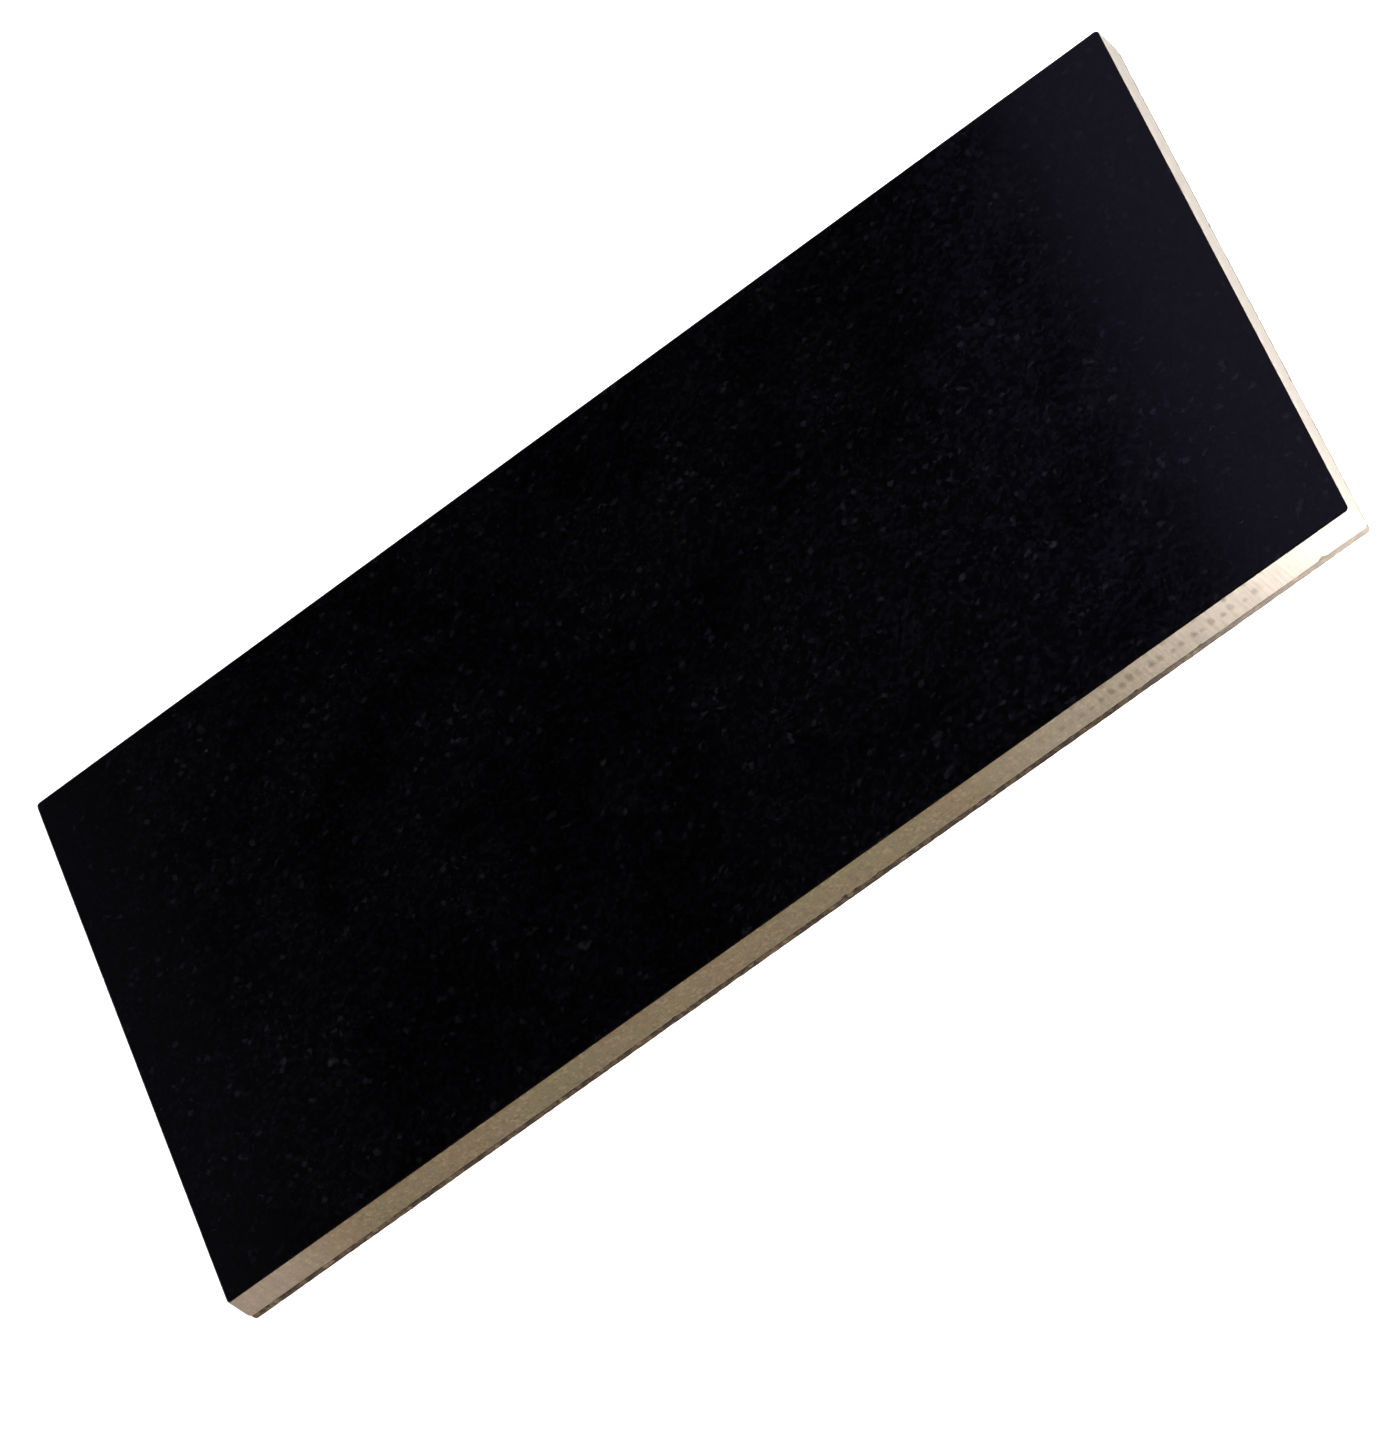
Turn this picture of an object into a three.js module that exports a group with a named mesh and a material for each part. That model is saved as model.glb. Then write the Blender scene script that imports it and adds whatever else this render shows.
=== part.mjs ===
// Granite slab for leatherwork: a stone slab with a polished top on a bonded non-slip backing sheet.
// Units are millimetres. X runs along the slab, Y across it and Z up.
// The origin is on the bench, under the middle of the slab.
import * as THREE from "three";

// Driving dimensions: the stone
const SLAB_LENGTH = 304.8;
const SLAB_WIDTH = 152.4;
const STONE_THICKNESS = 8.7;
const STONE_ARRIS = 0.5; // flat chamfer that eases the rims of the top and bottom faces
const STONE_CORNER_RADIUS = 1.2; // the four upright corners

// Driving dimensions: what is bonded under the stone
const BACKING_THICKNESS = 1.8;
const BACKING_SETBACK = 0.3; // the sheet is trimmed this far inside the stone's sides
const FILM_THICKNESS = 0.2;
const FILM_SETBACK = 1.0; // the adhesive stops this far inside the sheet's edge

const CORNER_SEGMENTS = 6;

// Heights of the faces where one layer lies on the next
const BACKING_BOTTOM = 0;
const FILM_BOTTOM = BACKING_BOTTOM + BACKING_THICKNESS;
const STONE_BOTTOM = FILM_BOTTOM + FILM_THICKNESS;

// Size of the backing sheet, from the stone that it is trimmed to
const BACKING_LENGTH = SLAB_LENGTH - 2 * BACKING_SETBACK;
const BACKING_WIDTH = SLAB_WIDTH - 2 * BACKING_SETBACK;
const BACKING_CORNER_RADIUS = STONE_CORNER_RADIUS - BACKING_SETBACK;

// A rectangle about the origin with its four corners rounded.
function roundedRectangle(length, width, radius) {
  const x = length / 2 - radius;
  const y = width / 2 - radius;
  const shape = new THREE.Shape();
  shape.absarc(x, -y, radius, -Math.PI / 2, 0);
  shape.absarc(x, y, radius, 0, Math.PI / 2);
  shape.absarc(-x, y, radius, Math.PI / 2, Math.PI);
  shape.absarc(-x, -y, radius, Math.PI, 1.5 * Math.PI);
  return shape;
}

function namedMesh(name, geometry, material, bottom) {
  const mesh = new THREE.Mesh(geometry, material);
  mesh.name = name;
  mesh.position.z = bottom;
  return mesh;
}

// The stone: its outline is drawn inside the arris, which the bevel adds back on every side.
function graniteSlab() {
  const outline = roundedRectangle(
    SLAB_LENGTH - 2 * STONE_ARRIS,
    SLAB_WIDTH - 2 * STONE_ARRIS,
    STONE_CORNER_RADIUS - STONE_ARRIS,
  );
  const geometry = new THREE.ExtrudeGeometry(outline, {
    depth: STONE_THICKNESS - 2 * STONE_ARRIS,
    bevelThickness: STONE_ARRIS,
    bevelSize: STONE_ARRIS,
    bevelSegments: 1,
    curveSegments: CORNER_SEGMENTS,
  });
  geometry.translate(0, 0, STONE_ARRIS);
  const polishedBlack = new THREE.MeshStandardMaterial({
    color: 0x0b0a0d,
    roughness: 0.12,
    metalness: 0,
  });
  return namedMesh("granite_slab", geometry, polishedBlack, STONE_BOTTOM);
}

// The bonding film: a plain sheet of adhesive, hidden between the stone and the backing.
function adhesiveFilm() {
  const geometry = new THREE.BoxGeometry(
    BACKING_LENGTH - 2 * FILM_SETBACK,
    BACKING_WIDTH - 2 * FILM_SETBACK,
    FILM_THICKNESS,
  );
  geometry.translate(0, 0, FILM_THICKNESS / 2);
  const clearAdhesive = new THREE.MeshStandardMaterial({
    color: 0xcfc6b2,
    roughness: 0.35,
    metalness: 0,
  });
  return namedMesh("adhesive_film", geometry, clearAdhesive, FILM_BOTTOM);
}

// The non-slip sheet that the slab lies on.
function backingSheet() {
  const outline = roundedRectangle(BACKING_LENGTH, BACKING_WIDTH, BACKING_CORNER_RADIUS);
  const geometry = new THREE.ExtrudeGeometry(outline, {
    depth: BACKING_THICKNESS,
    bevelEnabled: false,
    curveSegments: CORNER_SEGMENTS,
  });
  const rubberisedCork = new THREE.MeshStandardMaterial({
    color: 0x594a3a,
    roughness: 0.9,
    metalness: 0,
  });
  return namedMesh("backing_sheet", geometry, rubberisedCork, BACKING_BOTTOM);
}

const slab = new THREE.Group();
slab.add(graniteSlab());
slab.add(adhesiveFilm());
slab.add(backingSheet());

export default slab;
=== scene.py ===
"""Looks of a granite slab for leatherwork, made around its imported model.

The slab is one sawn piece of black granite with a polished top. Under it lies a thin sheet of
rubberised cork, held by a film of adhesive. Lengths are in metres, and the frame is the model's own:
X along the slab, Y across it, Z up, with the origin on the bench under its middle.
"""

import logging
import math
from dataclasses import dataclass, field
from enum import Enum
from typing import Optional, Union

import bpy
import numpy as np
from mathutils import Matrix, Vector


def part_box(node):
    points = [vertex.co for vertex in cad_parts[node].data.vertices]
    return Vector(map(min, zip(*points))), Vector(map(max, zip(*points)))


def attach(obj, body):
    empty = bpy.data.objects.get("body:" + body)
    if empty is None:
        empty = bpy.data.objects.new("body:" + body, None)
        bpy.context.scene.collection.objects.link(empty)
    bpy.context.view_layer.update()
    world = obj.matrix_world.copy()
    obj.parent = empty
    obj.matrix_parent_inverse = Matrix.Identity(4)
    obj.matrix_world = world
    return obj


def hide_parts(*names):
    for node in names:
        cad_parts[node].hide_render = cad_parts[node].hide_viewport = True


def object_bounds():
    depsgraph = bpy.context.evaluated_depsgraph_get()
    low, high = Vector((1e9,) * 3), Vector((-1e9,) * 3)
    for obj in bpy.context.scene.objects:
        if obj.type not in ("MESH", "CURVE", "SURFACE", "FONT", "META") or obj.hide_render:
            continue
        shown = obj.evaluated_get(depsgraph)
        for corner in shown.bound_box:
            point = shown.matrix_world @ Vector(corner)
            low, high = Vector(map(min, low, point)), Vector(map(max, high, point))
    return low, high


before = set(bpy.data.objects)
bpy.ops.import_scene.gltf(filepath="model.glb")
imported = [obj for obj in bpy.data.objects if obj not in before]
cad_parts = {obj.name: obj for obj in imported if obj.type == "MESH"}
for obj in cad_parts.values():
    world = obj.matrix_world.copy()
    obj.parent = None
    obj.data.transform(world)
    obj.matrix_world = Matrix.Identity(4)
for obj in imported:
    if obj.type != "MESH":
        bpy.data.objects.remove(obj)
CAD_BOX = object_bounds()

MM = 0.001
BODY = "root"
MIDDLE = (0.0, 0.0, 0.0)
WHITE = (1.0, 1.0, 1.0)

# The Mix node's colour sockets go by number, because its other sockets have the same names.
MIX_UNDER = 6
MIX_OVER = 7
MIX_RESULT = 2

log = logging.getLogger("granite_slab")

Colour = tuple[float, float, float]
Point = tuple[float, float, float]
Reach = tuple[float, float]
Socket = bpy.types.NodeSocket

# One number for a whole loop or for each of its points, and what a socket can be fed with.
Amount = Union[float, np.ndarray]
Feed = Union[Socket, float, Colour]


class Face(Enum):
    """Which finish a band of the stone's surface takes, by its place in the material list."""

    POLISHED = 0
    SAWN = 1


class End(Enum):
    """Which flat face of the stone a rim belongs to, by the way that face looks along Z."""

    TOP = 1.0
    BOTTOM = -1.0


class Axis(Enum):
    """An axis of the coordinates."""

    X = "X"
    Y = "Y"
    Z = "Z"


class Coordinates(Enum):
    """What a node tree's coordinates follow."""

    PIECE = "Object"
    SKY = "Generated"


class Sum(Enum):
    """What is worked out from two values."""

    ADD = "ADD"
    SUBTRACT = "SUBTRACT"
    MULTIPLY = "MULTIPLY"
    DIVIDE = "DIVIDE"
    LARGER = "MAXIMUM"
    ABSOLUTE = "ABSOLUTE"


class Blend(Enum):
    """How one colour is laid over another."""

    MIX = "MIX"
    MULTIPLY = "MULTIPLY"


# --------------------------------------------------------------------------- meshes


@dataclass(frozen=True)
class Walk:
    """A walk round an outline: its points, the way out at each, and how far round each one lies."""

    points: np.ndarray
    outwards: np.ndarray
    places: np.ndarray
    length: float

    def fade(self, reach: float) -> np.ndarray:
        """Gives shares that fall to 0 at the walk's two ends, so that a random edge closes there."""
        return np.minimum(1.0, np.minimum(self.places, self.length - self.places) / reach)

    def ring(self, inwards: Amount, heights: Amount) -> np.ndarray:
        """Lays one closed loop.

        Args:
            inwards: How far inside the outline it lies, for all points or for each.
            heights: Its height, for all points or for each.

        Returns:
            The loop, as an (N, 3) array.
        """
        count = len(self.points)
        pushed = np.broadcast_to(inwards, count)
        flat = self.points - self.outwards * pushed[:, None]
        return np.column_stack((flat, np.broadcast_to(heights, count)))


@dataclass(frozen=True)
class Outline:
    """A rectangle with rounded corners, walked anticlockwise from its front right corner."""

    half_length: float
    half_width: float
    corner_radius: float
    step: float
    corner_steps: int = 8

    def walk(self) -> Walk:
        """Walks round the outline.

        Returns:
            The walk, whose points and ways out are (N, 2) arrays.
        """
        x = self.half_length - self.corner_radius
        y = self.half_width - self.corner_radius
        corners = ((x, -y, -90.0), (x, y, 0.0), (-x, y, 90.0), (-x, -y, 180.0))
        stretches: list[np.ndarray] = []
        ways_out: list[np.ndarray] = []
        for index, (cx, cy, start) in enumerate(corners):
            centre = np.array((cx, cy))
            turn = np.radians(np.linspace(start, start + 90.0, self.corner_steps + 1))
            arc = np.stack((np.cos(turn), np.sin(turn)), axis=1)
            stretches.append(centre + self.corner_radius * arc)
            ways_out.append(arc)
            after = np.array(corners[(index + 1) % len(corners)][:2])
            begin = centre + self.corner_radius * arc[-1]
            end = after + self.corner_radius * arc[-1]
            count = max(2, round(float(np.linalg.norm(end - begin)) / self.step))
            share = np.linspace(0.0, 1.0, count + 1)[1:-1, None]
            stretches.append(begin + share * (end - begin))
            ways_out.append(np.repeat(arc[-1:], count - 1, axis=0))
        points = np.concatenate(stretches)
        legs = np.linalg.norm(np.diff(points, axis=0), axis=1)
        places = np.concatenate(([0.0], np.cumsum(legs)))
        last_leg = float(np.linalg.norm(points[0] - points[-1]))
        return Walk(points, np.concatenate(ways_out), places, places[-1] + last_leg)


def smooth_noise(places: np.ndarray, pitch: float, rng: np.random.Generator) -> np.ndarray:
    """Draws a smooth random line, such as a saw's wander.

    Args:
        places: Where the line is wanted, in metres.
        pitch: The distance between the random values that it passes through.
        rng: The source of the random values.

    Returns:
        One value from 0 to 1 for each place.
    """
    count = int(float(places.max() - places.min()) / pitch) + 3
    values = rng.random(count)
    at = (places - places.min()) / pitch
    low = at.astype(int)
    share = at - low
    share = share * share * (3.0 - 2.0 * share)
    return values[low] * (1.0 - share) + values[low + 1] * share


def loft(name: str, loops: list[np.ndarray], bands: Optional[list[Face]] = None) -> bpy.types.Object:
    """Skins a stack of closed loops into one solid, with a flat face over the first and the last.

    Args:
        name: The piece's name.
        loops: The loops from the underside, out, up the sides and in again, each as an (N, 3) array.
        bands: The finish of the band above each loop, and last that of the top face, or None
            for a piece with one finish.

    Returns:
        The new object.
    """
    count = len(loops[0])
    ring = np.arange(count)
    after = (ring + 1) % count
    slots = [band.value for band in bands] if bands else [0] * len(loops)
    faces: list[tuple[int, ...]] = [tuple(int(i) for i in ring[::-1])]
    finish = [slots[0]]
    for level in range(len(loops) - 1):
        low, high = level * count, (level + 1) * count
        quads = np.stack((low + ring, low + after, high + after, high + ring), axis=1)
        faces.extend(tuple(int(i) for i in quad) for quad in quads)
        finish.extend([slots[level]] * count)
    faces.append(tuple(int(i) for i in ring + (len(loops) - 1) * count))
    finish.append(slots[-1])
    mesh = bpy.data.meshes.new(name)
    mesh.from_pydata(np.concatenate(loops).tolist(), [], faces)
    mesh.polygons.foreach_set("material_index", finish)
    mesh.polygons.foreach_set("use_smooth", [False] + [True] * (len(faces) - 2) + [False])
    mesh.update()
    piece = bpy.data.objects.new(name, mesh)
    bpy.context.scene.collection.objects.link(piece)
    return piece


# --------------------------------------------------------------------------- materials


class NodeBench:
    """Builds a node tree, with coordinates to start from."""

    def __init__(self, tree: bpy.types.NodeTree, coordinates: Coordinates) -> None:
        """Starts on a tree.

        Args:
            tree: The tree that the nodes go into.
            coordinates: The coordinates to start from.
        """
        self.tree = tree
        self.place = self.add("ShaderNodeTexCoord").outputs[coordinates.value]

    def add(self, kind: str) -> bpy.types.Node:
        """Adds a node of that kind."""
        return self.tree.nodes.new(kind)

    def join(self, source: Feed, socket: Socket) -> None:
        """Feeds a socket.

        Args:
            source: Another node's output, or a plain value.
            socket: The input that takes it.
        """
        if isinstance(source, Socket):
            self.tree.links.new(source, socket)
        else:
            socket.default_value = source

    def stretched(self, scale: Point, turn: float = 0.0) -> Socket:
        """Gives the piece's coordinates, scaled and turned about Z.

        Args:
            scale: How many times each axis is stretched.
            turn: The turn about Z, in degrees.

        Returns:
            The coordinates' output.
        """
        turned = self.add("ShaderNodeVectorRotate")
        turned.rotation_type = "Z_AXIS"
        self.join(self.place, turned.inputs["Vector"])
        turned.inputs["Angle"].default_value = math.radians(turn)
        scaled = self.add("ShaderNodeVectorMath")
        scaled.operation = "MULTIPLY"
        self.join(turned.outputs["Vector"], scaled.inputs[0])
        scaled.inputs[1].default_value = scale
        return scaled.outputs["Vector"]

    def noise(self, scale: float, detail: float = 2.0, at: Optional[Socket] = None) -> Socket:
        """Adds a smooth noise.

        Args:
            scale: Lumps to the metre.
            detail: How many finer layers it has.
            at: The coordinates, or None for the piece's own.

        Returns:
            The noise's value.
        """
        node = self.add("ShaderNodeTexNoise")
        self.join(self.place if at is None else at, node.inputs["Vector"])
        node.inputs["Scale"].default_value = scale
        node.inputs["Detail"].default_value = detail
        return node.outputs["Fac"]

    def grains(self, scale: float, at: Optional[Socket] = None) -> bpy.types.Node:
        """Adds a pattern of mineral grains.

        Args:
            scale: Grains to the metre.
            at: The coordinates, or None for the piece's own.

        Returns:
            The Voronoi node, whose Color is the same all over one grain.
        """
        node = self.add("ShaderNodeTexVoronoi")
        self.join(self.place if at is None else at, node.inputs["Vector"])
        node.inputs["Scale"].default_value = scale
        return node

    def wandering(self, scale: float, amount: float) -> Socket:
        """Gives the piece's coordinates pushed about by a noise, so that grains get crooked edges.

        Args:
            scale: Lumps of the noise to the metre.
            amount: The furthest push, in metres.

        Returns:
            The coordinates' output.
        """
        node = self.add("ShaderNodeTexNoise")
        self.join(self.place, node.inputs["Vector"])
        node.inputs["Scale"].default_value = scale
        push = self.add("ShaderNodeVectorMath")
        push.operation = "MULTIPLY_ADD"
        self.join(node.outputs["Color"], push.inputs[0])
        push.inputs[1].default_value = (2.0 * amount,) * 3
        self.join(self.place, push.inputs[2])
        return push.outputs["Vector"]

    def first(self, colour: Socket) -> Socket:
        """Takes one random number from a grain's random colour.

        Args:
            colour: The grain's colour.

        Returns:
            Its red, from 0 to 1.
        """
        split = self.add("ShaderNodeSeparateColor")
        self.join(colour, split.inputs["Color"])
        return split.outputs["Red"]

    def axis(self, axis: Axis, at: Optional[Socket] = None) -> Socket:
        """Gives one coordinate.

        Args:
            axis: Which one.
            at: The coordinates, or None for the piece's own.

        Returns:
            The coordinate's output.
        """
        split = self.add("ShaderNodeSeparateXYZ")
        self.join(self.place if at is None else at, split.inputs["Vector"])
        return split.outputs[axis.value]

    def span(self, value: Feed, low: float, high: float, to_low: float = 0.0,
             to_high: float = 1.0) -> Socket:
        """Maps low and high to two other values, smoothly and no further.

        Args:
            value: What is mapped.
            low: The value that becomes to_low.
            high: The value that becomes to_high.
            to_low: The result at low and below.
            to_high: The result at high and above.

        Returns:
            The mapped value.
        """
        node = self.add("ShaderNodeMapRange")
        node.interpolation_type = "SMOOTHSTEP"
        self.join(value, node.inputs["Value"])
        node.inputs["From Min"].default_value = low
        node.inputs["From Max"].default_value = high
        node.inputs["To Min"].default_value = to_low
        node.inputs["To Max"].default_value = to_high
        return node.outputs["Result"]

    def maths(self, operation: Sum, first: Feed, second: Feed) -> Socket:
        """Works out one operation on two values.

        Args:
            operation: The operation.
            first: The first value.
            second: The second value.

        Returns:
            The result.
        """
        node = self.add("ShaderNodeMath")
        node.operation = operation.value
        self.join(first, node.inputs[0])
        self.join(second, node.inputs[1])
        return node.outputs["Value"]

    def lay(self, share: Feed, under: Feed, over: Feed, blend: Blend = Blend.MIX) -> Socket:
        """Lays one colour over another.

        Args:
            share: How much of it is laid, from 0 to 1.
            under: The colour below.
            over: The colour laid over it.
            blend: How it is laid.

        Returns:
            The mixed colour.
        """
        node = self.add("ShaderNodeMix")
        node.data_type = "RGBA"
        node.blend_type = blend.value
        self.join(share, node.inputs["Factor"])
        self.join(solid(under), node.inputs[MIX_UNDER])
        self.join(solid(over), node.inputs[MIX_OVER])
        return node.outputs[MIX_RESULT]

    def grey(self, value: Socket) -> Socket:
        """Turns a value into a grey.

        Args:
            value: How pale it is.

        Returns:
            The grey.
        """
        node = self.add("ShaderNodeCombineColor")
        for socket in ("Red", "Green", "Blue"):
            self.join(value, node.inputs[socket])
        return node.outputs["Color"]


class MaterialBench(NodeBench):
    """Builds one material, with the piece's own coordinates in metres to start from."""

    def __init__(self, name: str) -> None:
        """Starts a material.

        Args:
            name: The material's name.
        """
        self.material = bpy.data.materials.new(name)
        self.material.use_nodes = True
        self.material.node_tree.nodes.clear()
        super().__init__(self.material.node_tree, Coordinates.PIECE)
        self.shader = self.add("ShaderNodeBsdfPrincipled")
        output = self.add("ShaderNodeOutputMaterial")
        self.join(self.shader.outputs["BSDF"], output.inputs["Surface"])

    def relief(self, heights: Socket, depth: float) -> None:
        """Raises the surface by a pattern.

        Args:
            heights: The pattern, from 0 to 1.
            depth: How high 1 stands above 0, in metres.
        """
        node = self.add("ShaderNodeBump")
        node.inputs["Distance"].default_value = depth
        self.join(heights, node.inputs["Height"])
        self.join(node.outputs["Normal"], self.shader.inputs["Normal"])


def solid(colour: Feed) -> Feed:
    """Adds an alpha of 1 to a plain colour, and leaves a socket as it is."""
    return (*colour, 1.0) if isinstance(colour, tuple) else colour


@dataclass(frozen=True)
class Mark:
    """A small pale mark on the work face: a round fleck, or a smudge where it is longer than wide."""

    x: float
    y: float
    length: float
    width: float
    turn: float
    strength: float


@dataclass(frozen=True)
class PolishedGranite:
    """The work face: near-black stone polished to a mirror, with fine crystals and light use marks."""

    ground: Colour = (0.0002, 0.0002, 0.0003)
    dim_crystal: Colour = (0.0007, 0.0006, 0.0010)
    bright_crystal: Colour = (0.0023, 0.0023, 0.0032)
    fleck: Colour = (0.008, 0.0085, 0.010)
    crystals_per_metre: float = 820.0
    grains_per_metre: float = 2100.0
    flecks_per_metre: float = 75.0
    clouds_per_metre: float = 35.0
    crumbs_per_metre: float = 1500.0
    dim_from: Reach = (0.45, 1.0)
    bright_from: Reach = (0.96, 0.99)
    glint_from: Reach = (0.93, 1.0)
    fleck_from: Reach = (0.82, 0.88)
    fleck_edge: Reach = (0.020, 0.034)
    cloud_shades: Reach = (0.55, 1.0)
    crooks_per_metre: float = 600.0
    crook: float = 0.10 * MM
    scratch_stretch: Point = (9.0, 420.0, 1.0)
    scratch_turns_and_widths: tuple[Reach, Reach] = ((24.0, 0.010), (-58.0, 0.008))
    scratch_patches_per_metre: float = 26.0
    scratch_pale: float = 0.08
    scratch_rough: float = 0.06
    pit_depth: float = 0.0013 * MM
    roughness: Reach = (0.075, 0.130)
    cloud_rough: float = 0.03
    refraction: float = 1.54
    marks: tuple[Mark, ...] = (
        Mark(69.7 * MM, -29.6 * MM, 1.5 * MM, 1.2 * MM, 10.0, 0.55),
        Mark(91.2 * MM, -37.0 * MM, 1.3 * MM, 1.1 * MM, 0.0, 0.70),
        Mark(-22.3 * MM, -13.0 * MM, 1.3 * MM, 1.0 * MM, 40.0, 0.45),
        Mark(-118.8 * MM, -29.3 * MM, 1.2 * MM, 1.2 * MM, 0.0, 0.50),
        Mark(-108.7 * MM, -37.4 * MM, 1.4 * MM, 1.1 * MM, 70.0, 0.60),
        Mark(-66.5 * MM, -11.1 * MM, 1.2 * MM, 1.0 * MM, 0.0, 0.35),
        Mark(44.0 * MM, 22.5 * MM, 6.5 * MM, 1.3 * MM, 8.0, 0.10),
        Mark(-14.0 * MM, 34.0 * MM, 5.0 * MM, 1.4 * MM, 12.0, 0.10),
    )

    def scratches(self, bench: MaterialBench, turn: float, width: float) -> Socket:
        """Draws sparse hairline scratches in one direction.

        Args:
            bench: The material's bench.
            turn: Their direction from the X axis, in degrees.
            width: How near its middle value the noise has to be to count as a line.

        Returns:
            1 on a scratch and 0 beside it.
        """
        lines = bench.noise(1.0, 1.0, bench.stretched(self.scratch_stretch, turn))
        off = bench.maths(Sum.ABSOLUTE, bench.maths(Sum.SUBTRACT, lines, 0.5), 0.0)
        line = bench.span(off, 0.0, width, 1.0, 0.0)
        patches = bench.span(bench.noise(self.scratch_patches_per_metre, 1.0), 0.62, 0.74)
        return bench.maths(Sum.MULTIPLY, line, patches)

    def spots(self, bench: MaterialBench) -> Socket:
        """Draws the single marks.

        Args:
            bench: The material's bench.

        Returns:
            How strong a mark is at each place.
        """
        total: Feed = 0.0
        for mark in self.marks:
            shape = bench.add("ShaderNodeMapping")
            shape.vector_type = "TEXTURE"
            bench.join(bench.place, shape.inputs["Vector"])
            shape.inputs["Location"].default_value = (mark.x, mark.y, 0.0)
            shape.inputs["Rotation"].default_value = (0.0, 0.0, math.radians(mark.turn))
            shape.inputs["Scale"].default_value = (mark.length, mark.width, 1.0)
            away = bench.add("ShaderNodeVectorMath")
            away.operation = "LENGTH"
            bench.join(shape.outputs["Vector"], away.inputs[0])
            spot = bench.span(away.outputs["Value"], 0.25, 1.0, mark.strength, 0.0)
            total = bench.maths(Sum.LARGER, spot, total)
        return total

    def build(self) -> bpy.types.Material:
        """Makes the material.

        Returns:
            The material.
        """
        bench = MaterialBench("polished_black_granite")
        crooked = bench.wandering(self.crooks_per_metre, self.crook)
        crystal = bench.first(bench.grains(self.crystals_per_metre, crooked).outputs["Color"])
        grain = bench.first(bench.grains(self.grains_per_metre, crooked).outputs["Color"])
        cloud = bench.span(bench.noise(self.clouds_per_metre, 3.0), 0.35, 0.65)
        colour = bench.lay(bench.span(crystal, *self.dim_from), self.ground, self.dim_crystal)
        colour = bench.lay(bench.span(crystal, *self.bright_from), colour, self.bright_crystal)
        glint = bench.span(grain, *self.glint_from, 0.0, 0.6)
        colour = bench.lay(glint, colour, self.bright_crystal)
        shade = bench.grey(bench.span(cloud, 0.0, 1.0, *self.cloud_shades))
        colour = bench.lay(1.0, colour, shade, Blend.MULTIPLY)
        sparse = bench.grains(self.flecks_per_metre)
        near = bench.span(sparse.outputs["Distance"], *self.fleck_edge, 1.0, 0.0)
        some = bench.span(bench.first(sparse.outputs["Color"]), *self.fleck_from)
        colour = bench.lay(bench.maths(Sum.MULTIPLY, near, some), colour, self.fleck)
        broken = bench.span(bench.noise(self.crumbs_per_metre, 2.0), 0.30, 0.60, 0.35, 1.0)
        colour = bench.lay(bench.maths(Sum.MULTIPLY, self.spots(bench), broken), colour, self.fleck)
        ways = (self.scratches(bench, turn, width) for turn, width in self.scratch_turns_and_widths)
        scratched = bench.maths(Sum.LARGER, *ways)
        pale = bench.maths(Sum.MULTIPLY, scratched, self.scratch_pale)
        colour = bench.lay(pale, colour, self.bright_crystal)
        bench.join(colour, bench.shader.inputs["Base Color"])
        rough = bench.span(crystal, 0.0, 1.0, *self.roughness)
        rough = bench.maths(Sum.ADD, rough, bench.span(cloud, 0.0, 1.0, 0.0, self.cloud_rough))
        rough = bench.maths(Sum.ADD, rough, bench.maths(Sum.MULTIPLY, scratched, self.scratch_rough))
        bench.join(rough, bench.shader.inputs["Roughness"])
        bench.shader.inputs["IOR"].default_value = self.refraction
        pits = bench.span(grain, 0.0, 0.10)
        bench.relief(bench.maths(Sum.SUBTRACT, pits, scratched), self.pit_depth)
        return bench.material


@dataclass(frozen=True)
class PaintedLightRamp:
    """Painted light: a pale colour that thickens along X, from where it starts to where it is full,
    standing in for the light that brightens the slab towards its ends.
    """

    start: float
    full: float
    share: float
    colour: Colour = (0.240, 0.212, 0.184)

    def lay(self, bench: MaterialBench, along: Socket, under: Socket) -> Socket:
        """Lays the painted light over a colour.

        Args:
            bench: The material's bench.
            along: The X coordinate.
            under: The colour below.

        Returns:
            The colour with the painted light on it.
        """
        return bench.lay(bench.span(along, self.start, self.full, 0.0, self.share), under, self.colour)


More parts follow.
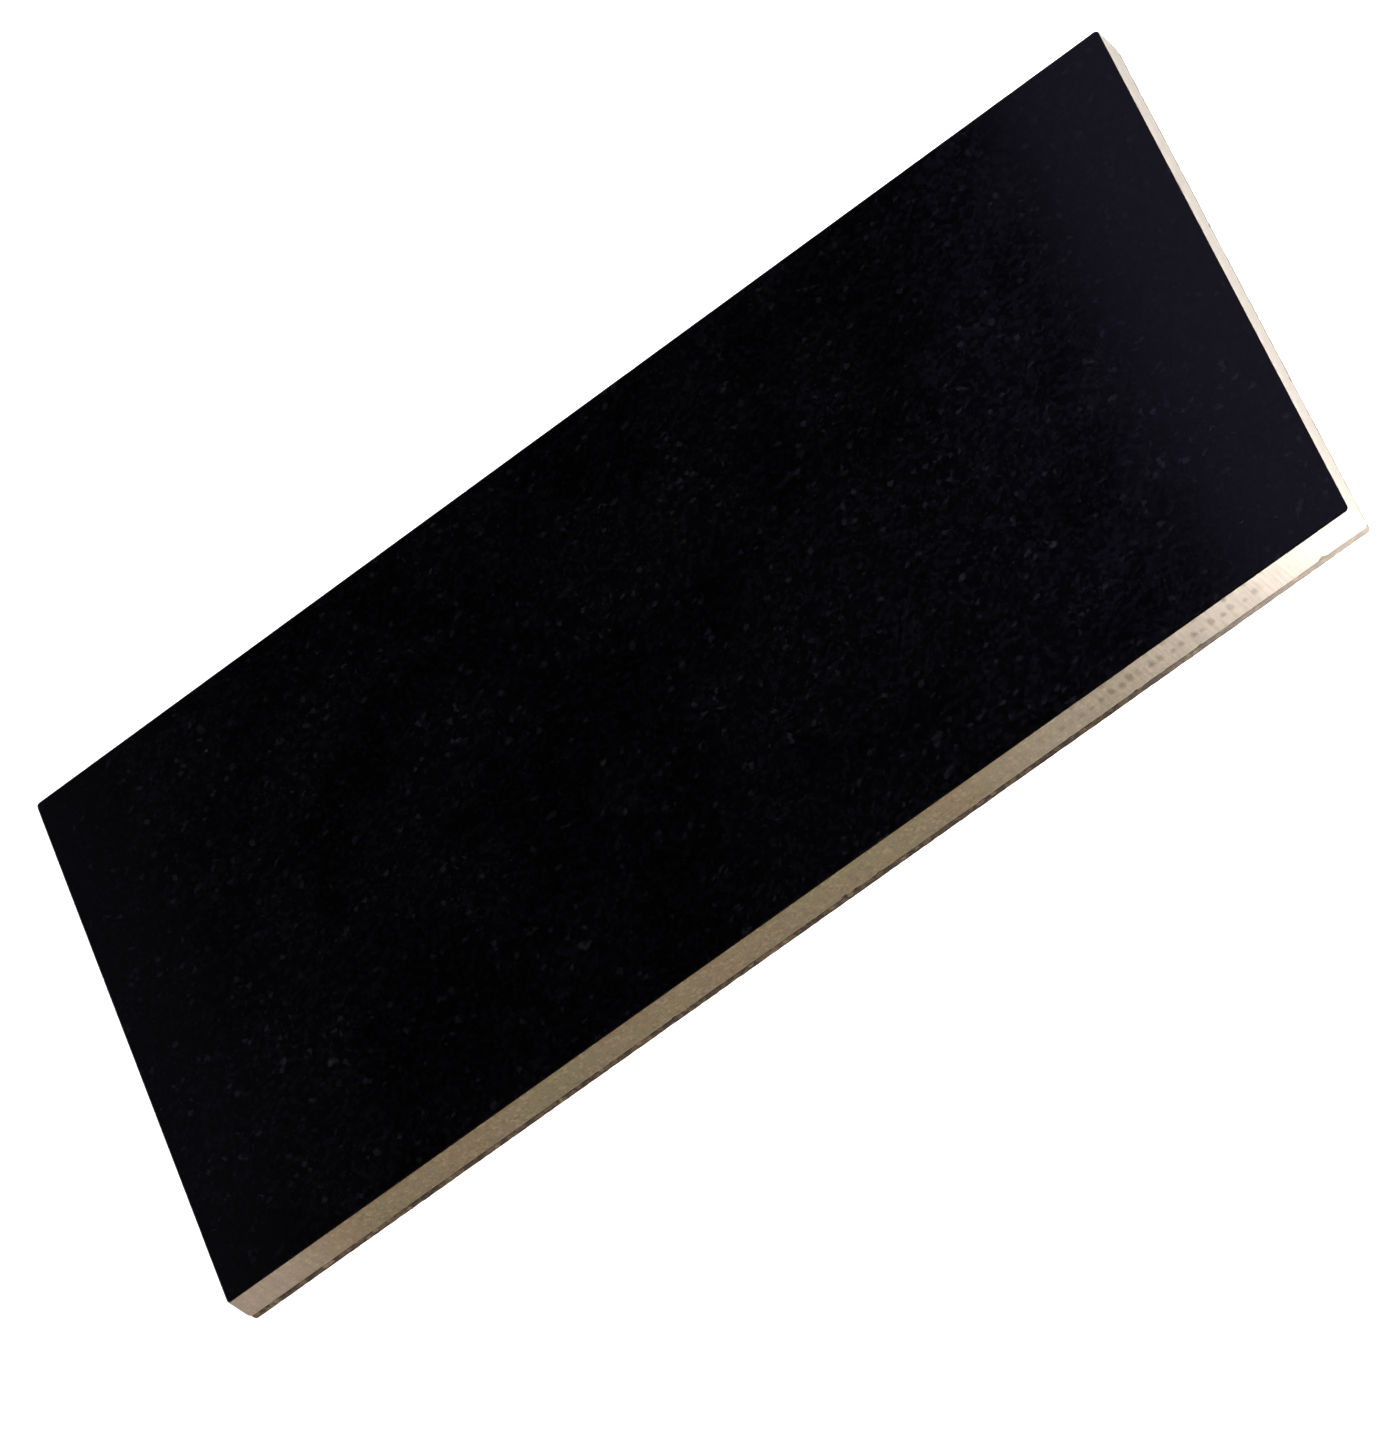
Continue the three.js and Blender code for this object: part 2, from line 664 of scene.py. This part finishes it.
@dataclass(frozen=True)
class SawnGranite:
    """The sides: the same stone, sawn and rubbed matt, painted paler near its ends where the light
    falls strongest.
    """

    stone: Colour = (0.066, 0.046, 0.020)
    dark_grain: Colour = (0.048, 0.031, 0.014)
    pale_grain: Colour = (0.105, 0.080, 0.046)
    cool_patch: Colour = (0.95, 1.03, 0.97)
    warm_patch: Colour = (1.06, 0.97, 0.96)
    # Painted light: the sides grow paler towards the right end, where the glare falls, and a little
    # towards the left end.
    painted_light: tuple[PaintedLightRamp, ...] = (
        PaintedLightRamp(40.0 * MM, 80.0 * MM, 0.16),
        PaintedLightRamp(78.0 * MM, 146.0 * MM, 0.80),
        PaintedLightRamp(-112.0 * MM, -146.0 * MM, 0.25, (0.240, 0.186, 0.156)),
    )
    grains_per_metre: float = 1300.0
    fine_share: float = 2.2
    crooks_per_metre: float = 1400.0
    crook: float = 0.2 * MM
    patches_per_metre: float = 38.0
    streak_stretch: Point = (1500.0, 1500.0, 90.0)
    streak_shades: Reach = (0.86, 1.12)
    grain_relief: float = 0.4
    roughness: Reach = (0.48, 0.65)
    gloss: float = 0.2
    refraction: float = 1.5
    relief_depth: float = 0.05 * MM
    chatter_from: float = 62.0 * MM
    chatter_to: float = 132.0 * MM
    chatter_fades: Reach = (15.0 * MM, 12.0 * MM)
    chatter_pitch: Reach = (2.7 * MM, 6.2 * MM)
    chatter_foot: float = 5.0 * MM
    chatter_rise: float = 1.5 * MM
    # How far the notches are darkened: painted shade in them.
    chatter_painted_shade: float = 0.72
    front_from: float = 10.0 * MM
    notch_crooks_per_metre: float = 520.0
    notch_crook: float = 0.28 * MM
    notch_scatter: float = 0.45

    def notches(self, bench: MaterialBench) -> Socket:
        """Draws the saw's chatter: a row of short upright notches high on the front, to the right.

        Args:
            bench: The material's bench.

        Returns:
            1 in a notch and 0 beside it.
        """
        crooked = bench.wandering(self.notch_crooks_per_metre, self.notch_crook)
        pitch, tall = self.chatter_pitch
        lift = bench.maths(Sum.SUBTRACT, bench.axis(Axis.Z, crooked), self.chatter_foot)
        spread = bench.add("ShaderNodeCombineXYZ")
        bench.join(bench.maths(Sum.DIVIDE, bench.axis(Axis.X, crooked), pitch), spread.inputs["X"])
        bench.join(bench.maths(Sum.DIVIDE, lift, tall), spread.inputs["Y"])
        cells = bench.grains(1.0, spread.outputs["Vector"])
        cells.voronoi_dimensions = "2D"
        cells.inputs["Randomness"].default_value = self.notch_scatter
        deep = bench.span(bench.first(cells.outputs["Color"]), 0.0, 0.7, 0.50, 1.0)
        hollow = bench.span(cells.outputs["Distance"], 0.12, 0.42, 1.0, 0.0)
        notch = bench.maths(Sum.MULTIPLY, hollow, deep)
        along = bench.axis(Axis.X)
        fade_in, fade_out = self.chatter_fades
        zone = bench.maths(
            Sum.MULTIPLY,
            bench.span(along, self.chatter_from, self.chatter_from + fade_in),
            bench.span(along, self.chatter_to, self.chatter_to - fade_out),
        )
        foot = self.chatter_foot
        high = bench.span(bench.axis(Axis.Z), foot, foot + self.chatter_rise)
        front = bench.span(bench.axis(Axis.Y), 0.0, -self.front_from)
        here = bench.maths(Sum.MULTIPLY, high, front)
        return bench.maths(Sum.MULTIPLY, bench.maths(Sum.MULTIPLY, notch, zone), here)

    def build(self) -> bpy.types.Material:
        """Makes the material.

        Returns:
            The material.
        """
        bench = MaterialBench("sawn_granite")
        crooked = bench.wandering(self.crooks_per_metre, self.crook)
        grain = bench.first(bench.grains(self.grains_per_metre, crooked).outputs["Color"])
        finer = self.fine_share * self.grains_per_metre
        fine = bench.first(bench.grains(finer, crooked).outputs["Color"])
        colour = bench.lay(bench.span(grain, 0.80, 0.90, 0.0, 0.55), self.stone, self.pale_grain)
        colour = bench.lay(bench.span(grain, 0.20, 0.10, 0.0, 0.60), colour, self.dark_grain)
        colour = bench.lay(bench.span(fine, 0.85, 0.95, 0.0, 0.35), colour, self.pale_grain)
        colour = bench.lay(bench.span(fine, 0.15, 0.05, 0.0, 0.45), colour, self.dark_grain)
        patch = bench.noise(self.patches_per_metre, 2.0)
        colour = bench.lay(bench.span(patch, 0.52, 0.66), colour, self.cool_patch, Blend.MULTIPLY)
        colour = bench.lay(bench.span(patch, 0.48, 0.34), colour, self.warm_patch, Blend.MULTIPLY)
        along = bench.axis(Axis.X)
        # Painted light: pales the sides towards the slab's ends.
        for painted_ramp in self.painted_light:
            colour = painted_ramp.lay(bench, along, colour)
        streaks = bench.noise(1.0, 3.0, bench.stretched(self.streak_stretch))
        cut = self.notches(bench)
        shade = bench.span(streaks, 0.25, 0.75, *self.streak_shades)
        colour = bench.lay(1.0, colour, bench.grey(shade), Blend.MULTIPLY)
        # Painted shade: darkens the notches towards the dark grain colour.
        colour = bench.lay(bench.maths(Sum.MULTIPLY, cut, self.chatter_painted_shade), colour, self.dark_grain)
        bench.join(colour, bench.shader.inputs["Base Color"])
        rough = bench.span(streaks, 0.2, 0.8, *self.roughness)
        bench.join(rough, bench.shader.inputs["Roughness"])
        bench.shader.inputs["IOR"].default_value = self.refraction
        bench.shader.inputs["Specular IOR Level"].default_value = self.gloss
        grain_height = bench.maths(Sum.MULTIPLY, grain, self.grain_relief)
        heights = bench.maths(Sum.ADD, grain_height, streaks)
        bench.relief(bench.maths(Sum.SUBTRACT, heights, cut), self.relief_depth)
        return bench.material


@dataclass(frozen=True)
class CorkRubber:
    """The backing: cork granules bound in dark rubber, painted paler towards the right end where the
    light falls strongest.
    """

    # The dark binder and granules draw the dark line along the foot of the stone, which is partly
    # painted shade under the slab's edge.
    binder: Colour = (0.018, 0.012, 0.008)
    granule: Colour = (0.050, 0.034, 0.020)
    pale_granule: Colour = (0.085, 0.060, 0.038)
    # Painted light: the backing grows paler towards the right end.
    painted_light: PaintedLightRamp = PaintedLightRamp(80.0 * MM, 140.0 * MM, 0.33)
    granules_per_metre: float = 780.0
    crumbs_per_metre: float = 2600.0
    crooks_per_metre: float = 1100.0
    crook: float = 0.3 * MM
    crumb_shades: Reach = (0.7, 1.25)
    crumb_share: float = 0.6
    crumb_relief: float = 0.4
    roughness: Reach = (0.82, 0.92)
    gloss: float = 0.12
    relief_depth: float = 0.12 * MM

    def build(self) -> bpy.types.Material:
        """Makes the material.

        Returns:
            The material.
        """
        bench = MaterialBench("rubberised_cork")
        crooked = bench.wandering(self.crooks_per_metre, self.crook)
        cells = bench.grains(self.granules_per_metre, crooked)
        kind = bench.first(cells.outputs["Color"])
        crumb = bench.noise(self.crumbs_per_metre, 3.0)
        colour = bench.lay(bench.span(kind, 0.25, 0.45), self.binder, self.granule)
        colour = bench.lay(bench.span(kind, 0.80, 0.92), colour, self.pale_granule)
        shade = bench.grey(bench.span(crumb, 0.3, 0.7, *self.crumb_shades))
        colour = bench.lay(self.crumb_share, colour, shade, Blend.MULTIPLY)
        between = bench.span(cells.outputs["Distance"], 0.45, 0.75, 0.0, 0.7)
        colour = bench.lay(between, colour, self.binder)
        # Painted light towards the right end.
        colour = self.painted_light.lay(bench, bench.axis(Axis.X), colour)
        bench.join(colour, bench.shader.inputs["Base Color"])
        rough = bench.span(kind, 0.2, 0.6, *self.roughness)
        bench.join(rough, bench.shader.inputs["Roughness"])
        bench.shader.inputs["Specular IOR Level"].default_value = self.gloss
        dome = bench.span(cells.outputs["Distance"], 0.0, 0.8, 1.0, 0.0)
        heights = bench.maths(Sum.ADD, dome, bench.maths(Sum.MULTIPLY, crumb, self.crumb_relief))
        bench.relief(heights, self.relief_depth)
        return bench.material


@dataclass(frozen=True)
class DriedAdhesive:
    """The film: milky adhesive, rubbed out unevenly."""

    thin: Colour = (0.46, 0.40, 0.29)
    thick: Colour = (0.66, 0.60, 0.47)
    streak_stretch: Point = (40.0, 260.0, 1.0)
    streak_turn: float = 12.0
    roughness: Reach = (0.30, 0.50)
    relief_depth: float = 0.03 * MM

    def build(self) -> bpy.types.Material:
        """Makes the material.

        Returns:
            The material.
        """
        bench = MaterialBench("dried_adhesive")
        streak = bench.noise(1.0, 3.0, bench.stretched(self.streak_stretch, self.streak_turn))
        colour = bench.lay(bench.span(streak, 0.35, 0.65), self.thin, self.thick)
        bench.join(colour, bench.shader.inputs["Base Color"])
        rough = bench.span(streak, 0.3, 0.7, *self.roughness)
        bench.join(rough, bench.shader.inputs["Roughness"])
        bench.relief(streak, self.relief_depth)
        return bench.material


@dataclass(frozen=True)
class StudioPaper:
    """The floor: plain matt white paper."""

    white: Colour = (0.90, 0.90, 0.90)
    roughness: float = 0.9
    tooth_per_metre: float = 900.0
    tooth_depth: float = 0.02 * MM

    def build(self) -> bpy.types.Material:
        """Makes the material.

        Returns:
            The material.
        """
        bench = MaterialBench("studio_paper")
        bench.join(solid(self.white), bench.shader.inputs["Base Color"])
        bench.shader.inputs["Roughness"].default_value = self.roughness
        bench.relief(bench.noise(self.tooth_per_metre), self.tooth_depth)
        return bench.material


# --------------------------------------------------------------------------- the slab's pieces


def keep(piece: bpy.types.Object, node: str, finishes: list[bpy.types.Material]) -> None:
    """Dresses a piece, lets it stand for its node and rides it on the slab's body.

    Args:
        piece: The piece.
        node: The node that it stands for.
        finishes: The materials, in the order of Face.
    """
    for finish in finishes:
        piece.data.materials.append(finish)
    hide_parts(node)
    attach(piece, BODY)
    log.info("%s: %d faces", piece.name, len(piece.data.polygons))


@dataclass
class Rim:
    """A rounded arris round the stone, with small chips knocked out of it.

    A chip's bite and reach are shares of half its length. Where there is no chip the reach is
    no_reach, just above 0, because distances are divided by it.
    """

    radius: float
    steps: int
    chips: int
    longest_chip: float
    seed: int
    shortest_share: float = 0.25
    bite: float = 0.38
    reach: float = 1.1
    no_reach: float = 1e-6

    def profile(self) -> list[tuple[float, float]]:
        """Lists the arc from the side to the flat face.

        Returns:
            The inset from the side and the depth below the flat face, at each step.
        """
        turns = np.linspace(0.0, math.pi / 2.0, self.steps + 1)
        return [(self.radius * (1.0 - math.cos(t)), self.radius * (1.0 - math.sin(t))) for t in turns]

    def away(self, inset: float, depth: float) -> float:
        """Measures how far a point of the rim's arc lies from the middle of that arc."""
        turn = math.atan2(self.radius - depth, self.radius - inset)
        return self.radius * abs(turn - math.pi / 4.0)

    def chipping(self, walk: Walk) -> tuple[np.ndarray, np.ndarray]:
        """Works out how much the chips take away round the slab.

        Args:
            walk: The walk round the stone's outline.

        Returns:
            The depth taken at each point, and how far it reaches from the arris.
        """
        rng = np.random.default_rng(self.seed)
        depth = np.zeros_like(walk.places)
        reach = np.full_like(walk.places, self.no_reach)
        middles = rng.random(self.chips) * walk.length
        for middle, size in zip(middles, rng.random(self.chips) ** 3):
            half = self.longest_chip * (self.shortest_share + (1.0 - self.shortest_share) * size) / 2.0
            away = np.abs(walk.places - middle)
            away = np.minimum(away, walk.length - away)
            hollow = np.sqrt(np.clip(1.0 - (away / half) ** 2, 0.0, None))
            depth = np.maximum(depth, self.bite * half * hollow)
            reach = np.maximum(reach, self.reach * half * hollow)
        return depth, reach


@dataclass(frozen=True)
class Level:
    """One loop of the stone, near the rim at one end of it.

    It lies inset from the side, at a depth below that end's flat face, and away from the middle of
    the rim's arc.
    """

    inset: float
    depth: float
    away: float
    end: End


@dataclass
class GraniteSlab:
    """The stone: a flat polished top on sawn sides with saw marks, eased and chipped rims.

    The saw's coarse and tooth pitches are in saw pitches, and its leans are shares of the height.
    """

    corner_radius: float = 1.2 * MM
    step: float = 0.5 * MM
    seam: float = 4.0 * MM
    upright_loops: int = 14
    flat_insets: tuple[float, ...] = (0.62 * MM, 0.78 * MM, 0.95 * MM, 1.12 * MM)
    saw_mark: float = 0.035 * MM
    saw_pitch: float = 1.7 * MM
    saw_lean: float = 0.16
    faint_mark: float = 0.4
    coarse_pitch: float = 2.6
    chatter: float = 0.09 * MM
    chatter_fades: Reach = (18.0 * MM, 14.0 * MM)
    tooth_pitch: float = 0.75
    tooth_lean: float = 0.05
    wander: float = 0.05 * MM
    wander_pitch: float = 55.0 * MM
    polish_from: float = 0.29
    seed: int = 11
    top_rim: Rim = field(default_factory=lambda: Rim(0.5 * MM, 4, 18, 0.9 * MM, 21))
    bottom_rim: Rim = field(default_factory=lambda: Rim(0.5 * MM, 3, 60, 1.8 * MM, 22))
    polished: PolishedGranite = field(default_factory=PolishedGranite)
    sawn: SawnGranite = field(default_factory=SawnGranite)

    def saw_relief(self, walk: Walk, rise: float) -> np.ndarray:
        """Works out how deep the saw has cut below the side's highest line, at one height.

        Args:
            walk: The walk round the outline.
            rise: The height above the stone's underside.

        Returns:
            The depth at each point.
        """
        rng = np.random.default_rng(self.seed)
        leaning = walk.places + self.saw_lean * rise
        marks = smooth_noise(leaning, self.saw_pitch, rng) ** 2
        coarse = smooth_noise(leaning, self.coarse_pitch * self.saw_pitch, rng)
        slow = smooth_noise(walk.places, self.wander_pitch, rng)
        upright = walk.places + self.tooth_lean * rise
        teeth = smooth_noise(upright, self.tooth_pitch * self.saw_pitch, rng) ** 3
        along, across = walk.points.T
        fade_in, fade_out = self.chatter_fades
        zone = np.clip((along - self.sawn.chatter_from) / fade_in, 0.0, 1.0)
        zone *= np.clip((self.sawn.chatter_to - along) / fade_out, 0.0, 1.0)
        return (
            self.saw_mark * marks * (self.faint_mark + (1.0 - self.faint_mark) * coarse)
            + self.wander * slow
            + self.chatter * teeth * zone * (across < 0.0)
        )

    def rim_levels(self, rim: Rim, end: End) -> list[Level]:
        """Lists the levels of a rim and of the flat face beside it, from the side inwards.

        Args:
            rim: The rim.
            end: Which flat face it belongs to.

        Returns:
            The levels.
        """
        arc = [Level(inset, depth, rim.away(inset, depth), end) for inset, depth in rim.profile()]
        return arc + [Level(inset, 0.0, inset - rim.radius, end) for inset in self.flat_insets]

    def upright_levels(self, thickness: float) -> list[Level]:
        """Lists the levels up the side, between the rims.

        Args:
            thickness: The stone's thickness.

        Returns:
            The levels, from the lowest.
        """
        low, high = self.bottom_rim.radius, thickness - self.top_rim.radius
        levels: list[Level] = []
        for rise in np.linspace(low, high, self.upright_loops + 2)[1:-1]:
            if rise - low < high - rise:
                levels.append(Level(0.0, rise, rise - low, End.BOTTOM))
            else:
                levels.append(Level(0.0, thickness - rise, high - rise, End.TOP))
        return levels

    def loop(self, walk: Walk, level: Level, chips: tuple[np.ndarray, np.ndarray], foot: float,
             thickness: float) -> np.ndarray:
        """Lays the stone's loop at one level.

        Args:
            walk: The walk round the outline.
            level: The level.
            chips: What the chips take at the level's end, and how far they reach.
            foot: The height of the stone's underside.
            thickness: The stone's thickness.

        Returns:
            The loop, as an (N, 3) array.
        """
        rise = level.depth if level.end is End.BOTTOM else thickness - level.depth
        taken, reach = chips
        bite = taken * np.clip(1.0 - level.away / reach, 0.0, 1.0)
        if level.inset >= self.flat_insets[-1]:
            bite = np.zeros_like(taken)
        share = max(0.0, 1.0 - level.inset / self.top_rim.radius)
        sawn = self.saw_relief(walk, rise) * share * walk.fade(self.seam)
        return walk.ring(level.inset + sawn + bite, foot + rise - level.end.value * bite)

    def build(self) -> bpy.types.Object:
        """Makes the stone where the model has it.

        Returns:
            The piece.
        """
        low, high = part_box("granite_slab")
        thickness = high.z - low.z
        walk = Outline(high.x, high.y, self.corner_radius, self.step).walk()
        rims = {End.BOTTOM: self.bottom_rim, End.TOP: self.top_rim}
        chips = {end: rim.chipping(walk) for end, rim in rims.items()}
        bottom, top = (self.rim_levels(rim, end) for end, rim in rims.items())
        loops: list[np.ndarray] = []
        bands: list[Face] = []
        for level in (*reversed(bottom), *self.upright_levels(thickness), *top):
            loops.append(self.loop(walk, level, chips[level.end], low.z, thickness))
            polished = level.end is End.TOP and level.inset >= self.polish_from * self.top_rim.radius
            bands.append(Face.POLISHED if polished else Face.SAWN)
        piece = loft("granite_slab_stone", loops, bands)
        keep(piece, "granite_slab", [self.polished.build(), self.sawn.build()])
        return piece


@dataclass
class BackingSheet:
    """The sheet of rubberised cork, cut with a knife, so that granules stand ragged at its edge. Its
    dark band along the foot of the stone is partly painted shade, standing in for the contact shadow
    under the slab's edge.
    """

    corner_radius: float = 0.9 * MM
    step: float = 0.6 * MM
    seam: float = 4.0 * MM
    levels: int = 7
    flat_inset: float = 0.8 * MM
    edge_round: float = 0.12 * MM
    ragged: float = 0.14 * MM
    granule: float = 1.2 * MM
    seed: int = 31
    finish: CorkRubber = field(default_factory=CorkRubber)

    def build(self) -> bpy.types.Object:
        """Makes the sheet where the model has it.

        Returns:
            The piece.
        """
        low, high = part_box("backing_sheet")
        walk = Outline(high.x, high.y, self.corner_radius, self.step).walk()
        fade = walk.fade(self.seam)
        rng = np.random.default_rng(self.seed)
        loops = [walk.ring(self.flat_inset, low.z)]
        for z in np.linspace(low.z, high.z, self.levels + 1):
            torn = self.ragged * smooth_noise(walk.places, self.granule, rng) ** 2 * fade
            eased = max(0.0, self.edge_round - min(z - low.z, high.z - z))
            loops.append(walk.ring(torn + eased, z))
        loops.append(walk.ring(self.flat_inset, high.z))
        piece = loft("backing_sheet_cork", loops)
        keep(piece, "backing_sheet", [self.finish.build()])
        return piece


@dataclass
class AdhesiveFilm:
    """The film between the stone and the sheet, with an uneven edge where it was rubbed out."""

    corner_radius: float = 0.9 * MM
    step: float = 1.0 * MM
    edge_round: float = 0.05 * MM
    uneven: float = 0.7 * MM
    lump: float = 6.0 * MM
    seed: int = 41
    finish: DriedAdhesive = field(default_factory=DriedAdhesive)

    def build(self) -> bpy.types.Object:
        """Makes the film where the model has it.

        Returns:
            The piece.
        """
        low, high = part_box("adhesive_film")
        walk = Outline(high.x, high.y, self.corner_radius, self.step).walk()
        rng = np.random.default_rng(self.seed)
        edge = self.uneven * smooth_noise(walk.places, self.lump, rng) * walk.fade(self.lump)
        loops = [
            walk.ring(edge + self.edge_round, low.z),
            walk.ring(edge, (low.z + high.z) / 2.0),
            walk.ring(edge + self.edge_round, high.z),
        ]
        piece = loft("adhesive_film_layer", loops)
        keep(piece, "adhesive_film", [self.finish.build()])
        return piece


# --------------------------------------------------------------------------- the studio


@dataclass
class Floor:
    """A wide sheet of paper that the slab lies on."""

    half_size: float = 7.0
    below: float = 0.02 * MM
    finish: StudioPaper = field(default_factory=StudioPaper)

    def build(self) -> None:
        """Lays the floor."""
        half = self.half_size
        square = ((-half, -half), (half, -half), (half, half), (-half, half))
        mesh = bpy.data.meshes.new("studio_floor")
        mesh.from_pydata([(x, y, -self.below) for x, y in square], [], [(0, 1, 2, 3)])
        floor = bpy.data.objects.new("studio_floor", mesh)
        mesh.materials.append(self.finish.build())
        bpy.context.scene.collection.objects.link(floor)


@dataclass
class Softbox:
    """A rectangular light, aimed at a point."""

    name: str
    place: Point
    aim: Point
    size: Reach
    watts: float
    colour: Colour = WHITE
    in_reflections: bool = True

    def build(self) -> None:
        """Hangs the light."""
        lamp = bpy.data.lights.new(self.name, "AREA")
        lamp.shape = "RECTANGLE"
        lamp.size, lamp.size_y = self.size
        lamp.energy = self.watts
        lamp.color = self.colour
        light = bpy.data.objects.new(self.name, lamp)
        bpy.context.scene.collection.objects.link(light)
        light.location = self.place
        look = Vector(self.aim) - Vector(self.place)
        light.rotation_euler = look.to_track_quat("-Z", "Y").to_euler()
        light.visible_camera = False
        light.visible_glossy = self.in_reflections


@dataclass
class StudioAir:
    """The room round the paper: pale walls low down, a dim uneven ceiling and one dark corner."""

    walls: Colour = (0.90, 0.90, 0.92)
    ceiling: Colour = (0.110, 0.107, 0.118)
    corner: Colour = (0.004, 0.0035, 0.005)
    walls_end: float = 0.05
    ceiling_from: float = 0.42
    lumps: float = 3.2
    lump_shades: Reach = (0.25, 1.9)
    corner_azimuth: float = 111.0
    corner_elevation: float = 48.0
    corner_reach: Reach = (31.0, 16.0)

    def build(self) -> None:
        """Sets the world."""
        world = bpy.data.worlds.new("studio_air")
        bpy.context.scene.world = world
        world.use_nodes = True
        bench = NodeBench(world.node_tree, Coordinates.SKY)
        rise = bench.span(bench.axis(Axis.Z), self.walls_end, self.ceiling_from)
        air = bench.lay(rise, self.walls, self.ceiling)
        lumps = bench.grey(bench.span(bench.noise(self.lumps, 0.0), 0.3, 0.7, *self.lump_shades))
        uneven = bench.lay(rise, WHITE, lumps)
        air = bench.lay(1.0, air, uneven, Blend.MULTIPLY)
        turn, tilt = math.radians(self.corner_azimuth), math.radians(self.corner_elevation)
        near = bench.add("ShaderNodeVectorMath")
        near.operation = "DOT_PRODUCT"
        bench.join(bench.place, near.inputs[0])
        near.inputs[1].default_value = (
            math.cos(turn) * math.cos(tilt), math.sin(turn) * math.cos(tilt), math.sin(tilt)
        )
        outer, inner = (math.cos(math.radians(reach)) for reach in self.corner_reach)
        air = bench.lay(bench.span(near.outputs["Value"], outer, inner), air, self.corner)
        bench.join(air, world.node_tree.nodes["Background"].inputs["Color"])


@dataclass
class Camera:
    """A long-lens camera that looks down at the slab from its front right, tilted on its axis."""

    azimuth: float = 21.036
    elevation: float = 48.15
    roll: float = 51.629
    distance: float = 1.9692
    aim: Point = (2.04 * MM, -19.24 * MM, 0.0)
    lens: float = 225.0
    sensor: float = 36.0
    nearest: float = 0.05
    furthest: float = 60.0

    def build(self) -> None:
        """Sets up the camera."""
        turn, tilt, roll = (math.radians(v) for v in (self.azimuth, self.elevation, self.roll))
        reach = math.cos(tilt)
        back = Vector((math.sin(turn) * reach, -math.cos(turn) * reach, math.sin(tilt)))
        level = Vector((math.cos(turn), math.sin(turn), 0.0))
        steep = back.cross(level)
        up = steep * math.cos(roll) + level * math.sin(roll)
        right = up.cross(back)
        data = bpy.data.cameras.new("camera")
        data.lens = self.lens
        data.sensor_width = self.sensor
        camera = bpy.data.objects.new("camera", data)
        bpy.context.scene.collection.objects.link(camera)
        target = Vector(self.aim) + Vector((0.0, 0.0, CAD_BOX[1].z))
        turned = Matrix((right, up, back)).transposed().to_4x4()
        camera.matrix_world = Matrix.Translation(target + back * self.distance) @ turned
        data.clip_start = self.nearest
        data.clip_end = self.furthest
        bpy.context.scene.camera = camera


@dataclass
class Studio:
    """Floor, lights, air and camera."""

    floor: Floor = field(default_factory=Floor)
    air: StudioAir = field(default_factory=StudioAir)
    camera: Camera = field(default_factory=Camera)

    def lights(self) -> list[Softbox]:
        """Lists the lights, from the largest to the smallest.

        Returns:
            The lights.
        """
        edge = CAD_BOX[1]
        x, y = edge.x, edge.y
        return [
            Softbox("front_key", (0.25, -2.2, 2.7), MIDDLE, (2.2, 1.6), 222.0, in_reflections=False),
            Softbox("back_fill", (-1.4, 2.0, 1.6), MIDDLE, (1.6, 1.2), 50.0, in_reflections=False),
            Softbox("right_top", (0.36, -0.10, 0.34), (0.22, -0.06, 0.0), (0.16, 0.16), 4.5,
                    in_reflections=False),
            Softbox("right_sheen", (0.105, 2.03, 2.41), (0.105, 2.03, 0.0), (1.10, 1.50), 1.42,
                    (0.66, 0.60, 1.0)),
            Softbox("left_sheen", (-1.581, 2.03, 2.41), (-1.581, 2.03, 0.0), (0.90, 1.50), 0.27,
                    (0.76, 0.72, 1.0)),
            Softbox("right_kicker", (x + 0.009, -y - 0.032, 0.018), (x, -y, 0.005), (0.014, 0.014),
                    0.055, in_reflections=False),
            Softbox("left_kicker", (-x + 0.010, -y - 0.06, 0.03), (-x + 0.01, -y, 0.005),
                    (0.02, 0.02), 0.009, in_reflections=False),
        ]

    def build(self) -> None:
        """Sets up the studio and a plain picture, with no filmic curve."""
        self.floor.build()
        self.air.build()
        self.camera.build()
        for light in self.lights():
            light.build()
        bpy.context.scene.view_settings.view_transform = "Standard"


def main() -> None:
    """Builds the studio, then the slab's pieces from the top down."""
    logging.basicConfig(level=logging.INFO, format="%(name)s: %(message)s")
    Studio().build()
    for part in (GraniteSlab(), AdhesiveFilm(), BackingSheet()):
        log.info("built %s", part.build().name)


if __name__ == "__main__":
    main()
